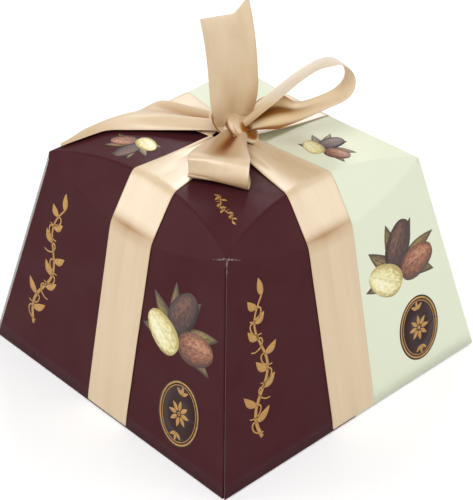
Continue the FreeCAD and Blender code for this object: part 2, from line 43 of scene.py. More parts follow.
# Carton, in millimetres, as in the part's source
BASE_HALF = 75.0
TOP_HALF = 54.0
FLOOR_GAP = 0.8
CORNER_HEIGHT = 96.0
WALL_DIP = 14.0
TOP_INSET = 10.4
TOP_RISE = 6.4
BOARD = 0.6
WALL_RUN = BASE_HALF - TOP_HALF
WALL_RISE = CORNER_HEIGHT - FLOOR_GAP
WALL_SLANT = math.hypot(WALL_RUN, WALL_RISE)
WALL_OUT = WALL_RISE / WALL_SLANT
WALL_UP = WALL_RUN / WALL_SLANT
TOP_LEVEL = CORNER_HEIGHT + TOP_RISE
DROOP_START = (TOP_HALF - TOP_INSET) / math.sqrt(2)
DROOP_RUN = TOP_HALF * math.sqrt(2) - DROOP_START
DROOP_RADIUS = (DROOP_RUN ** 2 + TOP_RISE ** 2) / (2 * TOP_RISE)
SIDES = {"front": 0, "right": 90, "back": 180, "left": -90}

# Ribbon and bow, in millimetres
RIBBON = 25.0
CLOTH = 0.3
WAIST = 13.0
KNOT_LEVEL = 109.3
BOW_TURN = math.radians(47)
BOW_LEAN = math.radians(30)


# Shaping helpers
def ease(low, high, x):
    """Smooth step from 0 at low to 1 at high."""
    share = min(1.0, max(0.0, (x - low) / (high - low)))
    return share * share * (3 - 2 * share)


def sag(x, half, depth):
    """Depth of a shallow arc under its chord."""
    radius = (half ** 2 + depth ** 2) / (2 * depth)
    return math.sqrt(radius ** 2 - min(abs(x), half) ** 2) - (radius - depth)


def along(line, distance):
    """Point at a distance along a bent line."""
    for a, b in zip(line, line[1:]):
        step = (b - a).length
        if distance <= step and step > 0:
            return a.lerp(b, max(distance, 0.0) / step)
        distance -= step
    return line[-1].copy()


def rounded(line, distances, reach):
    """Points along a bent line, with its bends rounded over that reach."""
    total = sum((b - a).length for a, b in zip(line, line[1:]))
    made = []
    for distance in distances:
        near = min(reach, max(distance, 0), max(total - distance, 0))
        spots = [along(line, distance + near * step / 4) for step in range(-4, 5)]
        made.append(sum(spots, Vector()) / len(spots))
    return made


def curve(points, count):
    """Smooth line through points, evenly spaced; points may be numbers or vectors."""
    last = len(points) - 1
    made = []
    for step in range(count + 1):
        place = last * step / count
        first = min(int(place), last - 1)
        t = place - first
        a = points[max(first - 1, 0)]
        b, c = points[first], points[first + 1]
        d = points[min(first + 2, last)]
        made.append(0.5 * (2 * b + (c - a) * t + (2 * a - 5 * b + 4 * c - d) * t * t
                           + (3 * b - a - 3 * c + d) * t * t * t))
    return made


def turned(point, side):
    """A point of the front side, carried round to another side."""
    return Matrix.Rotation(math.radians(SIDES[side]), 3, "Z") @ point


def grid_mesh(name, sheets):
    """Mesh of point grids in millimetres, with a map along and across each grid."""
    verts, faces, maps = [], [], []
    for rows in sheets:
        first, wide = len(verts), len(rows[0])
        verts += [point * MM for row in rows for point in row]
        for i in range(len(rows) - 1):
            for j in range(wide - 1):
                a = first + i * wide + j
                faces.append((a, a + 1, a + wide + 1, a + wide))
                maps.append([(m / (wide - 1), n / (len(rows) - 1))
                             for m, n in ((j, i), (j + 1, i), (j + 1, i + 1), (j, i + 1))])
    mesh = bpy.data.meshes.new(name)
    mesh.from_pydata(verts, [], faces)
    layer = mesh.uv_layers.new(name="weave")
    for face, spots in zip(mesh.polygons, maps):
        for loop, spot in zip(face.loop_indices, spots):
            layer.data[loop].uv = spot
    mesh.polygons.foreach_set("use_smooth", [True] * len(mesh.polygons))
    made = bpy.data.objects.new(name, mesh)
    bpy.context.scene.collection.objects.link(made)
    return made


def weld(piece):
    """Joins the points where sheets of a mesh meet."""
    shaped = bmesh.new()
    shaped.from_mesh(piece.data)
    bmesh.ops.remove_doubles(shaped, verts=shaped.verts, dist=0.002 * MM)
    bmesh.ops.dissolve_degenerate(shaped, edges=shaped.edges, dist=0.001 * MM)
    bmesh.ops.recalc_face_normals(shaped, faces=shaped.faces)
    shaped.to_mesh(piece.data)
    shaped.free()


def thicken(piece, thickness, offset, inner=0, rim=0):
    """Gives a one-sided mesh its thickness."""
    shell = piece.modifiers.new("thickness", "SOLIDIFY")
    shell.thickness = thickness * MM
    shell.offset = offset
    shell.use_even_offset = True
    shell.thickness_clamp = 1.0
    shell.material_offset = inner
    shell.material_offset_rim = rim


def smooth(piece, levels):
    """Rounds a mesh by subdivision."""
    soft = piece.modifiers.new("smooth", "SUBSURF")
    soft.levels = soft.render_levels = levels


# Materials
def node(tree, kind, inputs=None, **settings):
    """A shader node; each input is linked to a socket or set to a value."""
    made = tree.nodes.new(kind)
    for key, content in settings.items():
        setattr(made, key, content)
    for key, content in (inputs or {}).items():
        if isinstance(content, bpy.types.NodeSocket):
            tree.links.new(content, made.inputs[key])
        else:
            made.inputs[key].default_value = content
    return made


def mix(tree, factor, a, b):
    """Colour between a and b; the colour sockets of the node are numbers 6 and 7."""
    return node(tree, "ShaderNodeMix", {0: factor, 6: a, 7: b}, data_type="RGBA").outputs[2]


def math_node(tree, operation, *values, clamp=False):
    """Result of a sum on values or sockets."""
    made = node(tree, "ShaderNodeMath", dict(enumerate(values)), operation=operation, use_clamp=clamp)
    return made.outputs[0]


def spread(tree, factor, low, high, to_low=0.0, to_high=1.0):
    """Carries the range low to high over to another range, and holds it there."""
    return node(tree, "ShaderNodeMapRange", {0: factor, 1: low, 2: high, 3: to_low, 4: to_high}).outputs[0]


def rgb(red, green, blue):
    """Colour as seen on screen, 0 to 255, turned to light."""
    def linear(c):
        c /= 255
        return c / 12.92 if c <= 0.04045 else ((c + 0.055) / 1.055) ** 2.4
    return (linear(red), linear(green), linear(blue), 1.0)


def effect(name, inputs, outputs):
    """A shader node group with its sockets; returns the tree and its ends."""
    tree = bpy.data.node_groups.new(name, "ShaderNodeTree")
    for label, kind, start in inputs:
        socket = tree.interface.new_socket(label, in_out="INPUT", socket_type="NodeSocket" + kind)
        socket.default_value = start
    for label, kind in outputs:
        tree.interface.new_socket(label, in_out="OUTPUT", socket_type="NodeSocket" + kind)
    return tree, tree.nodes.new("NodeGroupInput"), tree.nodes.new("NodeGroupOutput")


def finish_of(name, group, values, roughness=None, bump=0.2, reach=0.1, **constants):
    """Material with colour, roughness, height and any shine from an effect; constants go to the shader."""
    material = bpy.data.materials.new(name)
    material.use_nodes = True
    tree = material.node_tree
    shader = tree.nodes["Principled BSDF"]
    look = node(tree, "ShaderNodeGroup", node_tree=group)
    for key, content in values.items():
        look.inputs[key].default_value = content
    tree.links.new(look.outputs["Color"], shader.inputs["Base Color"])
    if roughness is None:
        tree.links.new(look.outputs["Roughness"], shader.inputs["Roughness"])
    else:
        shader.inputs["Roughness"].default_value = roughness
    if "Shine" in look.outputs:
        tree.links.new(look.outputs["Shine"], shader.inputs["Specular IOR Level"])
    relief = node(tree, "ShaderNodeBump", {"Strength": bump, "Distance": reach * MM,
                                           "Height": look.outputs["Height"]})
    tree.links.new(relief.outputs[0], shader.inputs["Normal"])
    for key, content in constants.items():
        shader.inputs[key.replace("_", " ")].default_value = content
    return material


def noise_on(tree, where, scale, detail):
    """Noise over a map."""
    made = node(tree, "ShaderNodeTexNoise", {"Vector": where, "Scale": scale, "Detail": detail})
    return made.outputs["Fac"]


def object_noise(tree, scale, detail):
    """Noise fixed to the piece, in metres."""
    return noise_on(tree, node(tree, "ShaderNodeTexCoord").outputs["Object"], scale, detail)


def woven_noise(tree, scale, detail):
    """Noise along and across a ribbon, with its own scale each way."""
    where = node(tree, "ShaderNodeUVMap", uv_map="weave").outputs[0]
    stretched = node(tree, "ShaderNodeMapping", {"Vector": where, "Scale": scale}).outputs[0]
    return noise_on(tree, stretched, 1.0, detail)


# Printed board: ink over a white core that shows where creases are rubbed
tree, start, end = effect(
    "printed_board",
    [("Ink", "Color", (1, 1, 1, 1)), ("Core", "Color", (1, 1, 1, 1)), ("Wear", "Float", 0.5),
     ("Low gloss", "Float", 0.45)],
    [("Color", "Color"), ("Roughness", "Float"), ("Height", "Float")])
rub = node(tree, "ShaderNodeAttribute", attribute_name="wear").outputs["Fac"]
speck = object_noise(tree, 900.0, 4.0)
patch = object_noise(tree, 60.0, 3.0)
rubbed = math_node(tree, "MULTIPLY", rub, start.outputs["Wear"])
rubbed = math_node(tree, "ADD", rubbed, spread(tree, speck, 0.3, 0.7, -0.12, 0.12))
rubbed = spread(tree, rubbed, 0.2, 0.75, 0.0, 0.7)
faded = mix(tree, 0.5, start.outputs["Ink"], (0.5, 0.42, 0.42, 1))
cloud = mix(tree, spread(tree, patch, 0.3, 0.7, 0.0, 0.03), start.outputs["Ink"], faded)
tree.links.new(mix(tree, rubbed, cloud, start.outputs["Core"]), end.inputs["Color"])
gloss = math_node(tree, "ADD", start.outputs["Low gloss"],
                  spread(tree, object_noise(tree, 240.0, 5.0), 0.3, 0.7, -0.05, 0.05))
tree.links.new(math_node(tree, "MULTIPLY_ADD", rubbed, 0.3, gloss), end.inputs["Roughness"])
tree.links.new(object_noise(tree, 1500.0, 2.0), end.inputs["Height"])
print_look = tree

# Bare card and paper: fibres and faint mottling
tree, start, end = effect(
    "card_fibre",
    [("Ground", "Color", (1, 1, 1, 1)), ("Shade", "Color", (0.8, 0.8, 0.8, 1)), ("Fibre", "Float", 1800.0)],
    [("Color", "Color"), ("Roughness", "Float"), ("Height", "Float")])
fibre = object_noise(tree, start.outputs["Fibre"], 4.0)
mottle = object_noise(tree, 150.0, 3.0)
tone = math_node(tree, "MULTIPLY_ADD", fibre, 0.6, math_node(tree, "MULTIPLY", mottle, 0.4))
tree.links.new(mix(tree, spread(tree, tone, 0.35, 0.65), start.outputs["Ground"], start.outputs["Shade"]),
               end.inputs["Color"])
tree.links.new(spread(tree, fibre, 0.3, 0.7, 0.7, 0.92), end.inputs["Roughness"])
tree.links.new(fibre, end.inputs["Height"])
card_look = tree

# Satin: fine warp threads along the ribbon, a woven edge, slow tone changes, and painted shade in the creases
tree, start, end = effect(
    "satin_weave",
    [("Light", "Color", (1, 1, 1, 1)), ("Deep", "Color", (0.5, 0.5, 0.5, 1)),
     ("Painted crease shade", "Color", (0.3, 0.1, 0.03, 1)), ("Painted pit shade", "Color", (0.1, 0.04, 0.01, 1)),
     ("Gloss", "Float", 0.35), ("Shine", "Float", 0.5)],
    [("Color", "Color"), ("Roughness", "Float"), ("Height", "Float"), ("Shine", "Float")])
threads = woven_noise(tree, (260.0, 5.0, 1.0), 3.0)
bands = woven_noise(tree, (3.0, 2.0, 1.0), 2.0)
weave = node(tree, "ShaderNodeUVMap", uv_map="weave").outputs[0]
across = node(tree, "ShaderNodeSeparateXYZ", {0: weave}).outputs[0]
edge = math_node(tree, "ABSOLUTE", math_node(tree, "SUBTRACT", across, 0.5))
selvedge = spread(tree, edge, 0.462, 0.478)
tone = math_node(tree, "MULTIPLY_ADD", threads, 0.25, math_node(tree, "MULTIPLY", bands, 0.75))
tone = math_node(tree, "ADD", spread(tree, tone, 0.35, 0.65),
                 math_node(tree, "MULTIPLY", selvedge, 0.35), clamp=True)
# Painted shade: the fold attribute darkens the colour towards the crease shade, then the pit shade, and
# roughens and dulls the shine there
painted_fold_shade = node(tree, "ShaderNodeAttribute", attribute_name="fold").outputs["Fac"]
shade = mix(tree, tone, start.outputs["Light"], start.outputs["Deep"])
shade = mix(tree, painted_fold_shade, shade, start.outputs["Painted crease shade"])
shade = mix(tree, spread(tree, painted_fold_shade, 1.0, 2.0), shade, start.outputs["Painted pit shade"])
tree.links.new(shade, end.inputs["Color"])
gloss = math_node(tree, "ADD", start.outputs["Gloss"], spread(tree, threads, 0.3, 0.7, -0.05, 0.08))
tree.links.new(math_node(tree, "MULTIPLY_ADD", painted_fold_shade, 0.35, gloss), end.inputs["Roughness"])
tree.links.new(math_node(tree, "MULTIPLY_ADD", selvedge, 0.6, threads), end.inputs["Height"])
dulled = spread(tree, painted_fold_shade, 0.5, 1.8, 1.0, 0.1)
tree.links.new(math_node(tree, "MULTIPLY", start.outputs["Shine"], dulled), end.inputs["Shine"])
satin_look = tree

# Chocolate: lumpy crust with a dusting in the hollows
tree, start, end = effect(
    "chocolate_crust",
    [("Crust", "Color", (0.1, 0.05, 0.03, 1)), ("Dust", "Color", (0.3, 0.2, 0.1, 1)),
     ("Dusting", "Float", 0.5)],
    [("Color", "Color"), ("Roughness", "Float"), ("Height", "Float")])
lumps = object_noise(tree, 420.0, 5.0)
grains = object_noise(tree, 2200.0, 3.0)
dusted = math_node(tree, "MULTIPLY", spread(tree, lumps, 0.4, 0.62), start.outputs["Dusting"])
dusted = math_node(tree, "MULTIPLY", dusted, spread(tree, grains, 0.3, 0.6, 0.4, 1.0))
tree.links.new(mix(tree, dusted, start.outputs["Crust"], start.outputs["Dust"]), end.inputs["Color"])
tree.links.new(spread(tree, dusted, 0.0, 1.0, 0.42, 0.85), end.inputs["Roughness"])
tree.links.new(math_node(tree, "MULTIPLY_ADD", grains, 0.3, lumps), end.inputs["Height"])
crust_look = tree

# Picture print: a rounded form shaded from its map, with a line along it and printed grain
tree, start, end = effect(
    "picture_print",
    [("Light", "Color", (1, 1, 1, 1)), ("Mid", "Color", (0.5, 0.5, 0.5, 1)),
     ("Dark", "Color", (0.1, 0.1, 0.1, 1)), ("Line", "Float", 0.5), ("Grain", "Float", 14.0)],
    [("Color", "Color"), ("Roughness", "Float"), ("Height", "Float")])
chart = node(tree, "ShaderNodeUVMap", uv_map="weave").outputs[0]
grain = noise_on(tree, chart, start.outputs["Grain"], 5.0)
lit, rim = (node(tree, "ShaderNodeVectorMath", {0: chart, 1: spot}, operation="DISTANCE").outputs["Value"]
            for spot in ((0.36, 0.6, 0.0), (0.5, 0.5, 0.0)))
tone = math_node(tree, "ADD", spread(tree, lit, 0.05, 0.6, 0.9, 0.0),
                 spread(tree, grain, 0.3, 0.7, -0.45, 0.45))
tone = math_node(tree, "SUBTRACT", tone, spread(tree, rim, 0.35, 0.5, 0.0, 0.35))
across = node(tree, "ShaderNodeSeparateXYZ", {0: chart}).outputs[0]
middle = math_node(tree, "SUBTRACT", across, spread(tree, grain, 0.3, 0.7, 0.46, 0.54))
line = math_node(tree, "MULTIPLY", start.outputs["Line"],
                 spread(tree, math_node(tree, "ABSOLUTE", middle), 0.01, 0.06, 1.0, 0.0))
shade = mix(tree, spread(tree, tone, -0.1, 0.4), start.outputs["Dark"], start.outputs["Mid"])
shade = mix(tree, spread(tree, tone, 0.45, 1.1), shade, start.outputs["Light"])
tree.links.new(mix(tree, line, shade, start.outputs["Dark"]), end.inputs["Color"])
tree.links.new(spread(tree, grain, 0.3, 0.7, 0.38, 0.5), end.inputs["Roughness"])
tree.links.new(grain, end.inputs["Height"])
picture_look = tree


def board(name, ink, wear, shine):
    """Printed board finish from its ink."""
    values = {"Ink": rgb(*ink), "Core": rgb(236, 230, 222), "Wear": wear, "Low gloss": 0.42}
    return finish_of(name, print_look, values, bump=0.12, reach=0.05, Specular_IOR_Level=shine)


def card(name, ground, shade, bump=0.25, fibre=1800.0, **rest):
    """Card, paper or foil finish from its two tones."""
    values = {"Ground": rgb(*ground), "Shade": rgb(*shade), "Fibre": fibre}
    return finish_of(name, card_look, values, bump=bump, **rest)


def satin(name, light, deep, gloss, shine, bump, **rest):
    """Satin finish from its two tones; both sides share the painted shade tones of their creases."""
    values = {"Light": rgb(*light), "Deep": rgb(*deep), "Painted crease shade": rgb(154, 104, 40), "Painted pit shade": rgb(124, 60, 12),
              "Gloss": gloss, "Shine": shine}
    return finish_of(name, satin_look, values, bump=bump, reach=0.08, **rest)


def picture(name, light, mid, dark, line=0.5, grain=14.0):
    """Printed picture finish from its three tones."""
    values = {"Light": rgb(*light), "Mid": rgb(*mid), "Dark": rgb(*dark), "Line": line, "Grain": grain}
    return finish_of(name, picture_look, values, bump=0.05)


def chocolate(name, body, dust, bump):
    """Chocolate crust finish from its body and its dusting."""
    return finish_of(name, crust_look, {"Crust": rgb(*body), "Dust": rgb(*dust)}, bump=bump, reach=0.4)


brown_print = board("brown_print", (68, 26, 31), 0.9, 0.06)
cream_print = board("cream_print", (226, 231, 207), 0.3, 0.15)
white_card = card("white_card", (240, 237, 231), (226, 221, 212))
# Cut edges: darker than the bare card, partly for ink stains and partly as painted shade
cut_card = card("cut_card", (176, 152, 150), (154, 128, 126))
divider_card = card("divider_card", (224, 219, 204), (204, 197, 179))
cup_paper = card("cup_paper", (92, 56, 38), (74, 43, 30), 0.15, 2600.0)
gold_foil = card("gold_foil", (192, 148, 84), (168, 124, 66), 0.05, 900.0, roughness=0.42, Metallic=0.45)
plaque_ink = card("plaque_ink", (52, 26, 26), (44, 22, 23), 0.05, 900.0, roughness=0.36,
                  Specular_IOR_Level=0.2)
satin_face = satin("satin_face", (220, 196, 161), (210, 183, 144), gloss=0.3, shine=1.0, bump=0.1,
                   Anisotropic=0.4, Sheen_Weight=0.15, Sheen_Roughness=0.4)
# The satin's dull back: its lower shine is its own; its paler tone is partly its own and partly painted
# light, for light coming through the thin cloth
satin_back = satin("satin_back", (245, 226, 188), (236, 213, 171), gloss=0.45, shine=0.5, bump=0.15,
                   Sheen_Weight=0.2, Sheen_Roughness=0.5)
dark_picture = picture("dark_picture", (122, 84, 66), (72, 42, 36), (40, 22, 22))
milk_picture = picture("milk_picture", (196, 142, 108), (136, 82, 56), (86, 48, 36))
cream_picture = picture("cream_picture", (250, 246, 214), (232, 222, 164), (186, 166, 104), line=0.35)
leaf_picture = picture("leaf_picture", (150, 132, 76), (104, 84, 48), (62, 44, 30), line=0.8, grain=9.0)
dark_crust = chocolate("dark_crust", (58, 34, 28), (96, 64, 46), 0.5)
milk_crust = chocolate("milk_crust", (124, 76, 48), (164, 116, 80), 0.5)
white_crust = chocolate("white_crust", (244, 232, 196), (252, 246, 228), 0.4)


# Carton surface, front side
def on_wall(x, climb, lift=0.0):
    """Point on the front wall: across it, up along it, and out of its face."""
    return Vector((x, -(BASE_HALF - climb * WALL_UP) - lift * WALL_OUT,
                   FLOOR_GAP + climb * WALL_OUT + lift * WALL_UP))


def crease_climb(x):
    """How far up the wall its curved crease lies."""
    return WALL_SLANT - sag(x, TOP_HALF, WALL_DIP)


def crease(x):
    """Point on the crease between wall and flap."""
    return on_wall(x, crease_climb(x))


def top_height(x, y):
    """Level of the top panel, which droops towards its four points."""
    past = min(max(0.0, (abs(x) + abs(y)) / math.sqrt(2) - DROOP_START), DROOP_RUN)
    return TOP_LEVEL - (DROOP_RADIUS - math.sqrt(DROOP_RADIUS ** 2 - past ** 2))


def star_edge(x):
    """Point on the crease between flap and top panel."""
    y = -TOP_HALF + sag(x, TOP_HALF, TOP_INSET)
    return Vector((x, y, top_height(x, y)))


CREASE_REACH = 0.8
NEAR_CREASE = [2.4, 1.2, 0.6]
CREASE_ZONE = 4.0
CORNER_ZONE = 4.0
FOLD_ROUND = 0.5
FOLD_INSET = 1.05
FOLD_LIP = 0.9
WALL_STEPS, FLAP_STEPS, TOP_STEPS, RIDGE_STEPS = 12, 5, 12, 14
WALL_ROWS = WALL_STEPS + 1 + len(NEAR_CREASE)
COLUMNS = 64


def carton_column(x):
    """One line of points up the wall, over the flap and in to the middle of the top."""
    low = on_wall(x * BASE_HALF / TOP_HALF, 0)
    fold, point = crease(x), star_edge(x)
    ridge = [Vector((point.x, point.y, 0)) * (1 - k / RIDGE_STEPS) for k in range(1, RIDGE_STEPS + 1)]
    for spot in ridge:
        spot.z = top_height(spot.x, spot.y)
    line = [low, fold, point] + ridge
    wall, flap = (fold - low).length, (point - fold).length
    top = sum((b - a).length for a, b in zip(line[2:], line[3:]))
    tight = min(1.0, flap / 10)
    spots = [wall * k / WALL_STEPS * (1 - CREASE_ZONE / wall) for k in range(WALL_STEPS + 1)]
    spots += [wall - d for d in NEAR_CREASE] + [wall] + [wall + d * tight for d in reversed(NEAR_CREASE)]
    spots += [wall + flap * (0.25 + 0.5 * k / FLAP_STEPS) for k in range(FLAP_STEPS + 1)]
    rim = wall + flap
    spots += [rim - d * tight for d in NEAR_CREASE] + [rim] + [rim + d for d in reversed(NEAR_CREASE)]
    spots += [rim + CREASE_ZONE + (top - CREASE_ZONE) * k / TOP_STEPS for k in range(TOP_STEPS + 1)]
    return rounded(line, spots, CREASE_REACH)


def carton_rows(side):
    """Grid of one side of the carton, from its bottom edge to the middle of the top."""
    spots = [math.sin(math.pi / 2 * (2 * k / COLUMNS - 1)) * TOP_HALF for k in range(COLUMNS + 1)]
    columns = [carton_column(x) for x in spots]
    rows = [[column[k] for column in columns] for k in range(len(columns[0]))]
    if side in ("front", "back"):
        for row in rows[:WALL_ROWS]:
            reach = abs(row[0].x)
            for point in row:
                near = ease(reach - CORNER_ZONE, reach, abs(point.x))
                shut = 1 - ease(CORNER_HEIGHT - 5, CORNER_HEIGHT - 1, point.z)
                point.x -= math.copysign(near * shut * (FOLD_INSET + FOLD_ROUND), point.x)
    return rows


def corner_roll(rows, end, sign):
    """The wall's end, rolled back round its corner fold."""
    roll = []
    for row in rows:
        bent = [row[end]]
        for angle in (30, 60, 90):
            a = math.radians(angle)
            bent.append(row[end] + FOLD_ROUND * Vector((sign * math.sin(a), 1 - math.cos(a), 0)))
        bent.append(bent[-1] + Vector((0, FOLD_LIP, 0)))
        roll.append(bent if sign > 0 else bent[::-1])
    return roll


def build_carton():
    """The folded cover blank: one skin with rounded creases, open at its glued corners and below."""
    sheets = []
    for side in SIDES:
        rows = carton_rows(side)
        parts = [rows]
        if side in ("front", "back"):
            parts = [corner_roll(rows[:WALL_ROWS], end, sign) for end, sign in ((0, -1), (-1, 1))] + parts
        sheets += [[[turned(point, side) for point in row] for row in part] for part in parts]
    made = grid_mesh("cover_carton", sheets)
    for face in made.data.polygons:
        face.material_index = 0 if face.center.y < 0 else 1
    return made


def wear_at(point):
    """How rubbed the board is: along its creases and cut edges, most at the front corner."""
    out, x = max(abs(point.x), abs(point.y)), min(abs(point.x), abs(point.y))
    spot = Vector((x, -out, point.z))
    near = min(x, TOP_HALF)
    gap = min((spot - crease(near)).length, (spot - star_edge(near)).length + 0.35)
    if point.z < CORNER_HEIGHT:
        climb = point.z - FLOOR_GAP
        gap = min(gap, BASE_HALF - climb * WALL_RUN / WALL_RISE - x, climb + 0.5)
    front = ease(14, 1, (point - Vector((TOP_HALF, -TOP_HALF, CORNER_HEIGHT))).length)
    return ease(1.0, 0.1, gap) * (0.08 + 0.3 * front)


carton = build_carton()
weld(carton)
worn = carton.data.attributes.new("wear", "FLOAT", "POINT")
worn.data.foreach_set("value", [wear_at(v.co / MM) for v in carton.data.vertices])
for material in (brown_print, cream_print, white_card, white_card, cut_card, white_card):
    carton.data.materials.append(material)
thicken(carton, BOARD, -1, inner=2, rim=4)
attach(carton, "cover")
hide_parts(*[side + "_wall" for side in SIDES], *[side + "_top_flap" for side in SIDES], "top_panel")

# Printing on the board: foil vines and plaques, and pictures of cocoa beans and leaves
FILM = 0.18
FOIL_OVER = 0.05
INKS = {"gold": gold_foil, "plaque": plaque_ink, "dark": dark_picture, "milk": milk_picture,
        "cream": cream_picture, "leaf": leaf_picture}
films = {ink: [] for ink in INKS}


def leaf_shape(length, width, bend=0.0):
    """Pointed leaf from its root at zero."""
    rows = []
    for k in range(11):
        t = k / 10
        half = width / 2 * math.sin(math.pi * t ** 0.8) ** 0.9 + 0.02
        middle = bend * math.sin(math.pi * t)
        rows.append([Vector((length * t, middle + half * v)) for v in (1, 0.5, 0, -0.5, -1)])
    return rows


def bean_shape(length, width):
    """Plump bean about its middle."""
    rows = []
    for k in range(15):
        a = math.pi * k / 14
        half = width / 2 * math.sin(a) ** 0.85 * (1 + 0.12 * math.cos(a)) + 0.02
        rows.append([Vector((-length / 2 * math.cos(a), half * v))
                     for v in (1, 0.66, 0.33, 0, -0.33, -0.66, -1)])
    return rows


def stroke_shape(points, widths, count):
    """Drawn line through points, with its width changing on the way."""
    path = curve([Vector(point) for point in points], count)
    spans = curve(widths, count)
    rows = []
    for k, spot in enumerate(path):
        ahead = (path[min(k + 1, count)] - path[max(k - 1, 0)]).normalized()
        rows.append([spot + Vector((-ahead.y, ahead.x)) * (spans[k] / 2 * v) for v in (1, -1)])
    return rows


def ring_shape(wide, high, width, inner=False):
    """Oval ring, or the whole oval where inner is set."""
    rows = []
    for k in range(49):
        a = -2 * math.pi * k / 48
        outer = Vector((wide * math.cos(a), high * math.sin(a)))
        thin = Vector(((wide - width) * math.cos(a), (high - width) * math.sin(a)))
        rows.append([outer, thin] if not inner else [outer, outer * 0.5, outer * 0.02])
    return rows


def swung(at, turn, x, y):
    """A flat point turned so many degrees and moved to a spot."""
    a = math.radians(turn)
    return (at[0] + x * math.cos(a) - y * math.sin(a), at[1] + x * math.sin(a) + y * math.cos(a))


def printed(ink, shape, at, turn, place, lift=0.03):
    """Lays a flat shape on the board at a spot, turned so many degrees."""
    films[ink].append([[place(*swung(at, turn, p.x, p.y), lift) for p in row] for row in shape])


def vine(at, turn, size, place):
    """Climbing foil stem with leaves and tendrils by turns on either side."""
    def sway(s):
        return 3.4 * math.sin(s * 0.16)

    stem = [(size * s, size * sway(s)) for s in range(0, 61, 3)]
    printed("gold", stroke_shape(stem, [1.7 * size, 1.3 * size, 0.8 * size], 60), at, turn, place)
    for number, s in enumerate((7, 14, 21, 28, 35, 42, 49, 55)):
        sign = 1 if number % 2 else -1
        root = swung(at, turn, size * s, size * sway(s))
        leaf = leaf_shape((9.5 - 0.06 * s) * size, 3.4 * size, 0.8 * size * sign)
        printed("gold", leaf, root, turn + sign * 52, place)
        curl = [(size * t * math.cos(t * 0.5), size * sign * -t * math.sin(t * 0.5) * 0.9)
                for t in (0, 1.4, 2.8, 4.2, 5.4, 6.2)]
        tendril = stroke_shape(curl, [0.7 * size, 0.7 * size, 0.5 * size], 16)
        printed("gold", tendril, root, turn - sign * 40, place)
    tip = swung(at, turn, size * 59.6, size * sway(60))
    printed("gold", leaf_shape(8 * size, 3.2 * size), tip, turn + 12, place)


def medallion(at, wide, high, place):
    """Oval plaque with a double rim, a rosette and two sprigs."""
    printed("plaque", ring_shape(wide, high, wide, True), at, 0, place)
    printed("gold", ring_shape(wide - 0.7, high - 0.7, 0.8), at, 0, place, FOIL_OVER)
    printed("gold", ring_shape(wide - 2.2, high - 2.2, 0.35), at, 0, place, FOIL_OVER)
    for angle in range(0, 360, 45):
        printed("gold", leaf_shape(4.6, 1.9), swung(at, angle, 1.3, 0), angle, place, FOIL_OVER)
    printed("gold", ring_shape(0.9, 0.9, 0.5), at, 0, place, FOIL_OVER)
    for sign in (1, -1):
        root = (at[0], at[1] + sign * (high - 6.4))
        for angle in (-55, 0, 55):
            printed("gold", leaf_shape(4.0, 1.5), root, 90 * sign + angle, place, FOIL_OVER)


def spray(at, turn, size, place):
    """Three cocoa beans on a fan of leaves."""
    root = swung(at, turn, 0, -4 * size)
    for angle, length in ((24, 21), (66, 20), (104, 21), (140, 20), (186, 19), (-22, 19)):
        printed("leaf", leaf_shape(length * size, 6.4 * size, 0.8 * size), root, turn + angle, place)
    for ink, x, y, angle, length, lift in (
            ("dark", 0.5, 6.5, 62, 19, 0.04), ("milk", 9.0, -4.0, 12, 18, 0.05),
            ("cream", -8.0, -5.0, 148, 18.5, 0.06)):
        bean = bean_shape(length * size, 12.6 * size)
        printed(ink, bean, swung(at, turn, x * size, y * size), turn + angle, place, lift)


def on_top(x, y, lift):
    """Point on the top panel."""
    return Vector((x, y, top_height(x, y) + lift))


for side in SIDES:
    def on_side(x, climb, lift, side=side):
        return turned(on_wall(x, climb, lift), side)

    vine((-51, 17), 80, 1.0, on_side)
    spray((36, 58), 0, 1.12, on_side)
    medallion((43, 22.5), 12, 15, on_side)
spray((-26, -32.5), 200, 0.62, on_top)
spray((29.5, 25), 20, 0.62, on_top)
vine((24.5, -33.0), -20, 0.3, on_top)
for ink, finish in INKS.items():
    film = grid_mesh("print_" + ink, films[ink])
    film.data.materials.append(finish)
    thicken(film, FILM, -1)
    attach(film, "cover")

# Ribbon: four strands from the cover's bottom edge to the knot, and the bow
FLAP_TILT = math.atan2((star_edge(0) - crease(0)).z, (star_edge(0) - crease(0)).y)
WALL_NORMAL = Vector((0, -WALL_OUT, WALL_UP))
FLAP_NORMAL = Vector((0, -math.sin(FLAP_TILT), math.cos(FLAP_TILT)))
TOP_NORMAL = Vector((0, 0, 1))
KNOT = Vector((0, 0, KNOT_LEVEL))
SIDEWAYS = Vector((math.cos(BOW_TURN), math.sin(BOW_TURN), 0))
FORWARD = Vector((math.sin(BOW_TURN), -math.cos(BOW_TURN), 0))
LOOP_UP = math.cos(BOW_LEAN) * TOP_NORMAL - math.sin(BOW_LEAN) * FORWARD
LOOP_FACE = math.cos(BOW_LEAN) * FORWARD + math.sin(BOW_LEAN) * TOP_NORMAL


def mitre(a, b):
    """Corner of two faces moved out by one."""
    middle = (a + b).normalized()
    return middle / middle.dot(a)


def ribbon_piece(name, rows, node_name, fold):
    """Satin strip with a shiny face and a dull back, standing for a CAD ribbon piece.

    The fold gives its painted shade: 0 is plain satin, 1 a crease and 2 the pit of a crease.
    """
    made = grid_mesh(name, [rows])
    # Painted shade: each point's fold value darkens the satin there
    deep = made.data.attributes.new("fold", "FLOAT", "POINT")
    last, side = len(rows) - 1, len(rows[0]) - 1
    deep.data.foreach_set("value", [fold(k / last, 2 * j / side - 1)
                                    for k in range(last + 1) for j in range(side + 1)])
    made.data.materials.append(satin_face)
    made.data.materials.append(satin_back)
    thicken(made, CLOTH, 0, inner=1)
    smooth(made, 1)
    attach(made, "cover")
    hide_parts(node_name)


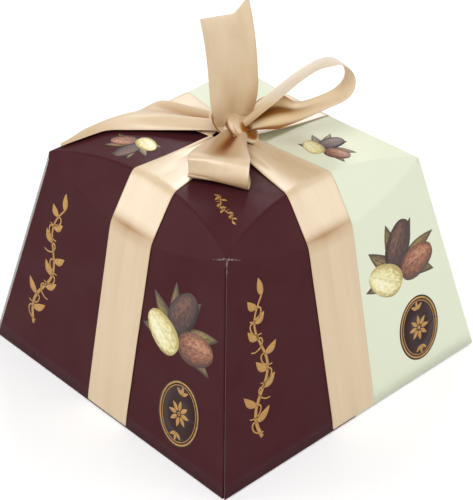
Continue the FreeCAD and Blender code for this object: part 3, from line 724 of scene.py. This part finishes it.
STRAND_COLUMNS = 20
STRAND_OFF = 0.25
STRAND_GLUED = 12
STRAND_UNDER = 0.2
STRAND_ROUND = 1.2
GATHER_OUT, GATHER_LIFT = 6.6, 1.4
STRAND_STEPS = (6, 2, 22, 10, 26)  # glued inside, round the edge, up the wall, over the flap, in to the knot
WALL_START, WALL_END, TOP_START, STRAND_END = (sum(STRAND_STEPS[:count]) for count in (2, 3, 4, 5))


def strand(side, drift, pleats, aside=0.3):
    """One strand: glued inside the cover, up the wall, over the top and gathered to the knot."""
    columns = []
    for k in range(STRAND_COLUMNS + 1):
        v = 2 * k / STRAND_COLUMNS - 1
        x = v * RIBBON / 2 + drift
        inside = -BOARD - 0.05 - CLOTH / 2
        line = [on_wall(x, STRAND_GLUED, inside), on_wall(x, -STRAND_UNDER, inside),
                on_wall(x, -STRAND_UNDER, STRAND_OFF),
                crease(x - drift * 0.5) + STRAND_OFF * mitre(WALL_NORMAL, FLAP_NORMAL),
                star_edge(x - drift * (1 - aside)) + STRAND_OFF * mitre(FLAP_NORMAL, TOP_NORMAL),
                Vector((v * WAIST / 2, -GATHER_OUT, TOP_LEVEL + GATHER_LIFT))]
        spots, done = [], 0
        for a, b, steps in zip(line, line[1:], STRAND_STEPS):
            run = (b - a).length
            spots += [done + run * step / steps for step in range(steps)]
            done += run
        column = rounded(line, spots + [done], STRAND_ROUND)
        for number, point in enumerate(column):
            t = (number - TOP_START) / STRAND_STEPS[4]
            if t > 0:
                wave = sum(height * (0.5 + 0.5 * math.cos(math.pi * count * v + phase))
                           for count, phase, height in pleats)
                point.z += ease(0.3, 1.0, t) * wave + 0.5 * math.sin(math.pi * min(t, 1)) * (1 - v * v)
            else:
                up = max(0.0, min(1.0, (number - WALL_START) / STRAND_STEPS[2]))
                ripple = noise.noise(Vector((x * 0.06, up * 2.2, SIDES[side] * 0.1)))
                point += WALL_NORMAL * 0.18 * (ripple + 0.6) * ease(0.02, 0.2, up) * ease(0, 0.12, -t)
        columns.append(column)
    rows = [[turned(column[k], side) for column in columns] for k in range(STRAND_END + 1)]

    def bend_painted_shade(t, v):
        """Painted gold shade where the satin bends: above the wall's crease, and in the pleats by the knot.
        """
        number = t * STRAND_END
        bend = ease(WALL_END - 0.3, WALL_END + 0.4, number) * ease(WALL_END + 2.6, WALL_END + 0.8, number)
        pleat = ease(STRAND_END - 8, STRAND_END, number) * (0.5 - 0.5 * math.cos(4.2 * math.pi * v))
        return bend * (0.9 - 0.35 * abs(v + 0.2)) + 0.55 * pleat

    ribbon_piece("strand_" + side, rows, "ribbon_" + side,
                 bend_painted_shade)


# Side, drift at the bottom, pleats by the knot (count, phase, height), drift's share at the top's edge
strand("front", 2.0, [(2.6, 0.4, 1.1), (5.0, 1.2, 0.5)])
strand("right", -1.0, [(2.2, 2.4, 1.0), (4.6, 0.3, 0.6)])
strand("back", 0.6, [(2.4, 1.0, 1.0), (5.2, 2.0, 0.5)])
strand("left", 1.6, [(2.0, 3.4, 1.4), (4.4, 0.8, 0.6)], -1.0)

STRIP_COLUMNS = 16


def strip(spine, acrosses, widths, rise, count, reach=None):
    """Rows of a ribbon along a spine: across vectors, widths, a rise off the flat section and an end cut."""
    path = curve(spine, count)
    tilts = curve(acrosses, count)
    spans = curve(widths, count)
    rows = []
    for k, spot in enumerate(path):
        t = k / count
        ahead = (path[min(k + 1, count)] - path[max(k - 1, 0)]).normalized()
        side = (tilts[k] - ahead * tilts[k].dot(ahead)).normalized()
        out = ahead.cross(side)
        row = []
        for j in range(STRIP_COLUMNS + 1):
            v = 2 * j / STRIP_COLUMNS - 1
            slide = ahead * reach(t, v) if reach else Vector()
            row.append(spot + side * (v * spans[k] / 2) + out * rise(t, v) + slide)
        rows.append(row)
    return rows


# Side loop: its upper run is seen nearly on edge, its lower run turns to show its inner face
loop_stations = [  # aside, up, tilt of the cloth, width, flare of the bend
    (3, 1.8, 25, 11, 0), (10.6, 8, 19, 16, 0), (18, 13.8, 15, 22, 0), (26.2, 20.4, 12, 25, 0),
    (34.4, 25.4, 11, 25, 0), (41.5, 26.8, 10, 25, 0.12), (46.2, 24, 11, 25, 0.12), (47.6, 19, 12, 25, 0.12),
    (44.6, 13.4, 13, 25, 0.12), (36.4, 9.3, 15, 25, 0), (26.2, 5.7, 20, 25, 0), (16, 5.3, 41, 23, 0),
    (4, 0.4, 40, 11, 0)]
loop_spine = [KNOT + SIDEWAYS * p + LOOP_UP * q for p, q, _, _, _ in loop_stations]
loop_across = [LOOP_FACE * math.cos(math.radians(tilt)) - LOOP_UP * math.sin(math.radians(tilt))
               + SIDEWAYS * flare for _, _, tilt, _, flare in loop_stations]
loop_width = [width for _, _, _, width, _ in loop_stations]


def loop_rise(t, v):
    """Gathers near the knot, and a slight hollow across the loop."""
    near = max(ease(0.3, 0.0, 1 - t), ease(0.22, 0.0, t))
    return near * math.cos(1.9 * math.pi * v + 0.5) + 0.5 * v * v * math.sin(math.pi * t)


def loop_painted_shade(t, v):
    """Painted shade, deep in the gathers at both of its roots."""
    hollow = 0.5 + 0.5 * math.cos(1.9 * math.pi * v + 0.5)
    root = 1.1 * ease(0.28, 0.06, 1 - t) * hollow ** 1.3 + 0.8 * ease(0.2, 0.04, 1 - t) * hollow ** 3
    return min(2.0, root + 0.6 * ease(0.14, 0.0, t) * hollow)


loop_rows = strip(loop_spine, loop_across, loop_width, loop_rise, 72)
ribbon_piece("bow_side_loop", loop_rows, "bow_loop_side",
             loop_painted_shade)

# Front loop: short, towards the front corner, seen from above
nose_stations = [  # forward, aside, up, turn of the cloth, width
    (2, 1, -1, 10, 9), (8, -0.2, 0, 10, 12), (14, -1.8, 1.1, 10, 15), (20, -3.4, 2.2, 11, 19),
    (26, -4.8, 3.2, 12, 23), (30.6, -5.6, 3.7, 13, 25), (32.8, -5.8, 2.9, 13, 25), (34.6, -5.9, 0.4, 15, 25),
    (36, -6, -2.2, 17, 25), (35.8, -6, -4.4, 18, 25), (33, -5.7, -5.2, 18, 25), (27, -5, -5.4, 17, 23),
    (20, -3.6, -5.1, 15, 19), (13, -2, -4.3, 13, 15), (7.5, -0.6, -3.2, 10, 12), (3, 0.6, -2.2, 10, 9)]
nose_spine = [KNOT + FORWARD * p + SIDEWAYS * s + TOP_NORMAL * q for p, s, q, _, _ in nose_stations]
nose_across = [SIDEWAYS * math.cos(math.radians(turn)) + FORWARD * math.sin(math.radians(turn))
               for _, _, _, turn, _ in nose_stations]
nose_width = [width for *_, width in nose_stations]


def nose_rise(t, v):
    """Gathers near the knot, and a roll that opens towards its right end."""
    near = max(ease(0.4, 0.0, t), ease(0.4, 0.0, 1 - t))
    return 0.8 * v * ease(0.36, 0.5, t) * ease(0.2, 0.45, 1 - t) - near * 1.4 * math.cos(1.5 * math.pi * v)


def nose_painted_shade(t, v):
    """Painted shade: deep at the gathers, warm on the upper run, which faces away from the light, none on the
    upper front of the roll and half-strength from its lower front round to the knot; v runs from the right.
    """
    hollow = 0.5 + 0.5 * math.cos(1.5 * math.pi * v)
    upper = 0.7 * ease(0.37, 0.29, t) * (0.7 + 0.3 * math.cos(0.6 - 2.2 * v))
    return min(2.0, 2.0 * ease(0.34, 0.12, t) * hollow ** 4 + upper + 0.5 * ease(0.47, 0.58, t))


nose_rows = [row[::-1] for row in strip(nose_spine, nose_across, nose_width, nose_rise, 66)]
ribbon_piece("bow_front_loop", nose_rows, "bow_loop_front",
             nose_painted_shade)

# Upright tail: one fold runs up it, and its end has a swallow cut
tail_yaw, tail_lean, tail_length = math.radians(177), math.radians(8), 52.5
tail_way = (Vector((math.cos(tail_yaw), math.sin(tail_yaw), 0)) * math.sin(tail_lean)
            + TOP_NORMAL * math.cos(tail_lean))
tail_across = Vector((math.sin(tail_yaw), -math.cos(tail_yaw), 0))
tail_front = tail_across.cross(tail_way)
TAIL_STEPS, TAIL_ROOT, TAIL_BELLY = 8, 3, 2.8
tail_shares = [k / TAIL_STEPS for k in range(TAIL_STEPS + 1)]
tail_spine = [KNOT + tail_way * (TAIL_ROOT + (tail_length - TAIL_ROOT) * t)
              + tail_front * (TAIL_BELLY * (1 - (2 * t - 1) ** 2)) for t in tail_shares]
tail_width = [18, 23, 25, 25, 25, 25, 25, 25, 25]


def tail_rise(t, v):
    """Gathers at the knot, a fold along one side and a hollow towards the free end."""
    gather = 1.5 * ease(0.5, 0.0, t) * math.cos(1.2 * math.pi * v - 0.3)
    fold = 1.6 * max(0.0, v - 0.3) ** 1.5 * ease(0.1, 0.5, t)
    return gather - fold - 0.9 * v * v * ease(0.3, 1, t)


def tail_painted_shade(t, v):
    """Painted shade in the gathers at the knot."""
    return 0.55 * ease(0.3, 0.0, t) * (0.5 - 0.5 * math.cos(1.2 * math.pi * v - 0.3)) ** 2


def swallow(notch, depth, slant):
    """Swallow cut: how far back each point lies near the free end."""
    def back(t, v):
        share = (notch - v) / (notch + 1) if v < notch else (v - notch) / (1 - notch)
        return -(depth * (1 - share) + slant * (1 - v) / 2) * ease(0.6, 1.0, t)
    return back


tail_rows = strip(tail_spine, [tail_across] * len(tail_spine), tail_width, tail_rise, 44,
                  swallow(0.4, 4.4, 2.0))
ribbon_piece("bow_upright_tail", tail_rows, "bow_tail_up", tail_painted_shade)

# Low tail: over the left strand and on over the top's left edge, where from the front only its fold shows
low_stations = [  # its front edge from the left side: along, out, level; then the cloth's skew and width
    (3.1, -1.2, 108.2, 44, 9), (4.8, 6.4, 107.4, 44, 13), (10.9, 14.6, 106.3, 44, 19),
    (18.6, 24.6, 104.9, 44, 25), (26.5, 34.4, 103.6, 43, 25), (32.1, 41.6, 102.4, 38, 25),
    (37.1, 44.1, 101.6, 32, 25), (41.9, 46.2, 100.6, 27, 25), (46.8, 48.7, 99.3, 24, 25),
    (50.2, 50.9, 97.9, 22, 25)]
LOW_ROWS, LOW_COLUMNS = 48, 18
LOW_DROP, LOW_OFF, LOW_NOTCH = 30, 0.8, 0.06
low_front = curve([Vector((aside, -out, level)) for aside, out, level, _, _ in low_stations], LOW_ROWS)
low_skew = curve([skew for *_, skew, _ in low_stations], LOW_ROWS)
low_width = curve([width for *_, width in low_stations], LOW_ROWS)


def low_line(front, skew, lift):
    """Line across the low tail: from its front edge over the top's edge, down the flap and the wall."""
    slip = math.tan(math.radians(skew))
    x = front.x
    for _ in range(4):
        x = front.x - slip * (front.y - star_edge(x).y)
    edge = star_edge(x) + lift * mitre(FLAP_NORMAL, TOP_NORMAL)
    x -= slip * (star_edge(x) - crease(x)).length
    fold = crease(x) + LOW_OFF * mitre(WALL_NORMAL, FLAP_NORMAL)
    return [front, edge, fold, on_wall(x - slip * LOW_DROP, crease_climb(x) - LOW_DROP, LOW_OFF)]


def low_rows():
    """Rows of the low tail, gathered at the knot and cut to a swallow end."""
    rows = []
    for k in range(LOW_ROWS + 1):
        t = k / LOW_ROWS
        lift = 1.4 + 2.2 * ease(0.3, 0.6, t) - 1.9 * ease(0.7, 1.0, t)
        line = low_line(low_front[k], low_skew[k], lift)
        row = rounded(line, [low_width[k] * j / LOW_COLUMNS for j in range(LOW_COLUMNS + 1)], 4)
        for j, point in enumerate(row):
            v = 2 * j / LOW_COLUMNS - 1
            point.z += ease(0.62, 0.1, t) * 1.5 * math.cos(1.6 * math.pi * v + 0.9)
        rows.append([turned(point, "left") for point in row])
    cut = []
    for k in range(LOW_ROWS + 1):
        row = []
        for j in range(LOW_COLUMNS + 1):
            back = LOW_NOTCH * (1 - abs(2 * j / LOW_COLUMNS - 1)) * ease(0.6, 1, k / LOW_ROWS)
            place = k * (1 - back)
            low = min(int(place), LOW_ROWS - 1)
            row.append(rows[low][j].lerp(rows[low + 1][j], place - low))
        cut.append(row)
    return cut


def low_painted_shade(t, v):
    """Painted shade: deep in the gathers, warm along the run behind them, faint on the hanging end."""
    hollow = 0.5 - 0.5 * math.cos(1.6 * math.pi * v + 0.9)
    dark = ease(0.5, 0.25, t) * math.exp(-((v - 0.45) / 0.35) ** 2)
    return 0.4 * ease(0.35, 0.05, t) * hollow ** 1.5 + 0.75 * dark + 0.25 * ease(0.5, 0.7, t)


ribbon_piece("bow_low_tail", low_rows(), "bow_tail_low",
             low_painted_shade)

# Knot: the ribbon's wrap round the loops' roots
KNOT_ROWS, KNOT_COLUMNS = 40, 48
KNOT_HALF, KNOT_RADIUS = 7.8, 6.4
knot_way = (SIDEWAYS * 0.86 + FORWARD * 0.42 + TOP_NORMAL * 0.06).normalized()
knot_up = (TOP_NORMAL - knot_way).normalized()
knot_side = knot_way.cross(knot_up)


def knot_wave(s, a):
    """Pleats of the wrap: two deep ones and a finer one, drifting as they go round."""
    return (0.55 * math.cos(2.5 * math.pi * s + 1.2 * math.sin(a) + 0.9)
            + 0.45 * math.cos(5.2 * math.pi * s - 1.6 * math.cos(a + 0.6)))


def knot_rows():
    """Rings of the wrap from its left end to its right one."""
    rows = []
    for k in range(KNOT_ROWS + 1):
        s = 2 * k / KNOT_ROWS - 1
        shell = math.sqrt(max(0.0, 1 - abs(s) ** 5))
        row = []
        for j in range(KNOT_COLUMNS + 1):
            a = 2 * math.pi * j / KNOT_COLUMNS
            reach = 0.6 + shell * (KNOT_RADIUS + knot_wave(s, a))
            out = knot_up * math.cos(a) + knot_side * math.sin(a)
            row.append(KNOT + knot_way * (KNOT_HALF * s) + out * reach)
        rows.append(row)
    return rows


def knot_painted_shade(t, v):
    """Painted shade: deep between the pleats, warm towards the right end and at both rims."""
    s, a = 2 * t - 1, math.pi * (v + 1)
    warm = 0.2 * ease(-0.1, 0.5, s) + 0.5 * ease(0.8, 1.0, abs(s))
    return min(2.0, 1.2 * ease(0.0, -0.7, knot_wave(s, a)) + warm)


ribbon_piece("bow_knot_wrap", knot_rows(), "bow_knot", knot_painted_shade)

# Truffles: three kinds of crust on the turned form
CELLS, PITCH = 4, 34.87
FOOT_LEVEL, FOOT, WAIST_LEVEL, GIRTH = 0.95, 6.0, 12.0, 13.0
UNDER = ((GIRTH - FOOT) ** 2 + WAIST_LEVEL ** 2) / (2 * (GIRTH - FOOT))
BELOW_STEPS, ABOVE_STEPS, ROUND_STEPS = 12, 18, 44
CRUSTS = {"dark": dark_crust, "milk": milk_crust, "white": white_crust}


def crust(kind, way, seed):
    """How far a truffle's crust lies off its turned form, by the way it faces."""
    spot = way * 3.0 + Vector((seed * 7.3, seed * 3.1, seed * 1.7))
    if kind == "dark":
        flakes = abs(noise.noise(spot * 1.6)) + 0.6 * abs(noise.noise(spot * 3.4))
        return 0.5 - 1.5 * flakes
    if kind == "milk":
        swirl = 7 * math.atan2(way.y, way.x) + 5 * way.z + 2.5 * noise.noise(spot)
        return 0.4 * math.sin(swirl) + 0.5 * noise.noise(spot * 2.2) - 0.5
    gaps = noise.voronoi(spot * 0.9)[0]
    return 1.1 * min(0.5, gaps[1] - gaps[0]) - 0.5 + 0.25 * noise.noise(spot * 3)


def truffle_rows(column, row, kind):
    """Rings of one truffle in its cell, from its flat foot up."""
    seat = Vector((PITCH * (column - (CELLS - 1) / 2), PITCH * (row - (CELLS - 1) / 2), FOOT_LEVEL))
    middle = Vector((0, 0, WAIST_LEVEL))
    dip = math.asin(WAIST_LEVEL / UNDER)
    below = [dip * (k / BELOW_STEPS - 1) for k in range(BELOW_STEPS)]
    above = [math.pi / 2 * k / ABOVE_STEPS for k in range(ABOVE_STEPS + 1)]
    outline = [(0.05, 0.0), (FOOT * 0.6, 0.0)]
    outline += [(GIRTH - UNDER + UNDER * math.cos(a), WAIST_LEVEL + UNDER * math.sin(a)) for a in below]
    outline += [(GIRTH * math.cos(a) + 0.02, WAIST_LEVEL + GIRTH * math.sin(a)) for a in above]
    rows = []
    for reach, level in outline:
        ring = []
        for k in range(ROUND_STEPS + 1):
            a = 2 * math.pi * (k % ROUND_STEPS) / ROUND_STEPS
            point = Vector((reach * math.cos(a), reach * math.sin(a), level))
            way = (point - middle).normalized()
            ring.append(seat + point + way * crust(kind, way, column + CELLS * row + 1) * ease(0.5, 6, level))
        rows.append(ring)
    return rows


for number, kind in enumerate(CRUSTS):
    cells = [(column, row) for row in range(CELLS) for column in range(CELLS)
             if (row + column) % len(CRUSTS) == number]
    made = grid_mesh(kind + "_truffles", [truffle_rows(column, row, kind) for column, row in cells])
    weld(made)
    made.data.materials.append(CRUSTS[kind])
    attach(made, "tray")
    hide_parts("truffles_" + kind)

# Pieces that show as their solids
for name, thing in nodes.items():
    if name.startswith(("tray_", "cover_glue")):
        finish = white_card
    elif name.startswith("divider_"):
        finish = divider_card
    elif name == "paper_cups":
        finish = cup_paper
    else:
        continue
    thing.data.materials.clear()
    thing.data.materials.append(finish)


# Stage: pale floor, soft light, camera
def seen_ray(tree):
    """1 for what the camera sees, directly or in gloss or glass."""
    rays = node(tree, "ShaderNodeLightPath").outputs
    return math_node(tree, "MAXIMUM", rays["Is Camera Ray"],
                     math_node(tree, "MAXIMUM", rays["Is Glossy Ray"], rays["Is Transmission Ray"]))


bpy.ops.mesh.primitive_grid_add(x_subdivisions=2, y_subdivisions=2, size=4)
floor = bpy.context.object
floor.name = "floor"
floor_paint = bpy.data.materials.new("floor_paint")
floor_paint.use_nodes = True
tree = floor_paint.node_tree
shader = tree.nodes["Principled BSDF"]
shader.inputs["Base Color"].default_value = (0.88, 0.88, 0.88, 1)
shader.inputs["Roughness"].default_value = 0.9
shader.inputs["Specular IOR Level"].default_value = 0.1
shader.inputs["Emission Color"].default_value = (1, 1, 1, 1)
tree.links.new(spread(tree, seen_ray(tree), 0.0, 1.0, 0.0, 0.2), shader.inputs["Emission Strength"])
floor.data.materials.append(floor_paint)

world = bpy.context.scene.world or bpy.data.worlds.new("world")
bpy.context.scene.world = world
world.use_nodes = True
tree = world.node_tree
back = tree.nodes["Background"]
tree.links.new(spread(tree, seen_ray(tree), 0.0, 1.0, 0.42, 1.0), back.inputs["Strength"])
back.inputs["Color"].default_value = (1, 1, 1, 1)


def lamp(name, spot, aim, size, power):
    """Round soft lamp, aimed at a point."""
    light = bpy.data.lights.new(name, "AREA")
    light.shape = "DISK"
    light.size = size
    light.energy = power
    made = bpy.data.objects.new(name, light)
    made.location = spot
    made.rotation_euler = (Vector(aim) - Vector(spot)).to_track_quat("-Z", "Y").to_euler()
    bpy.context.scene.collection.objects.link(made)


lamp("key_lamp", (0.35, -0.5, 0.95), (0, 0, 0.06), 0.7, 5.8)
lamp("side_lamp", (0.95, 0.25, 0.6), (0, 0, 0.06), 0.8, 0.9)
lamp("back_lamp", (-0.56, 0.62, 0.72), (0, 0, 0.06), 0.35, 3.4)
lamp("left_box", (-0.72, -0.89, 0.44), (0, 0, 0.08), 0.5, 2.8)
lamp("right_box", (0.91, 0.67, 0.48), (0, 0, 0.08), 0.5, 1.9)

AZIMUTH, ELEVATION = math.radians(46.93), math.radians(34.94)
DISTANCE, AIM = 0.73324, Vector((0, 0, 0.040))
FOCUS_PIXELS, LONG_SIDE, SHORT_SIDE = 1694.97, 500, 473
MIDDLE_PIXEL = (233.53, 265.04)
SENSOR = 36
eye = bpy.data.cameras.new("camera")
eye.lens = FOCUS_PIXELS * SENSOR / LONG_SIDE
eye.sensor_width = SENSOR
eye.shift_x = (SHORT_SIDE / 2 - MIDDLE_PIXEL[0]) / LONG_SIDE
eye.shift_y = (MIDDLE_PIXEL[1] - LONG_SIDE / 2) / LONG_SIDE
eye.clip_start = 0.01
camera = bpy.data.objects.new("camera", eye)
toward = Vector((math.sin(AZIMUTH) * math.cos(ELEVATION), -math.cos(AZIMUTH) * math.cos(ELEVATION),
                 math.sin(ELEVATION)))
camera.location = AIM + toward * DISTANCE
camera.rotation_euler = (-toward).to_track_quat("-Z", "Y").to_euler()
bpy.context.scene.collection.objects.link(camera)
bpy.context.scene.camera = camera
bpy.context.scene.view_settings.view_transform = "Standard"
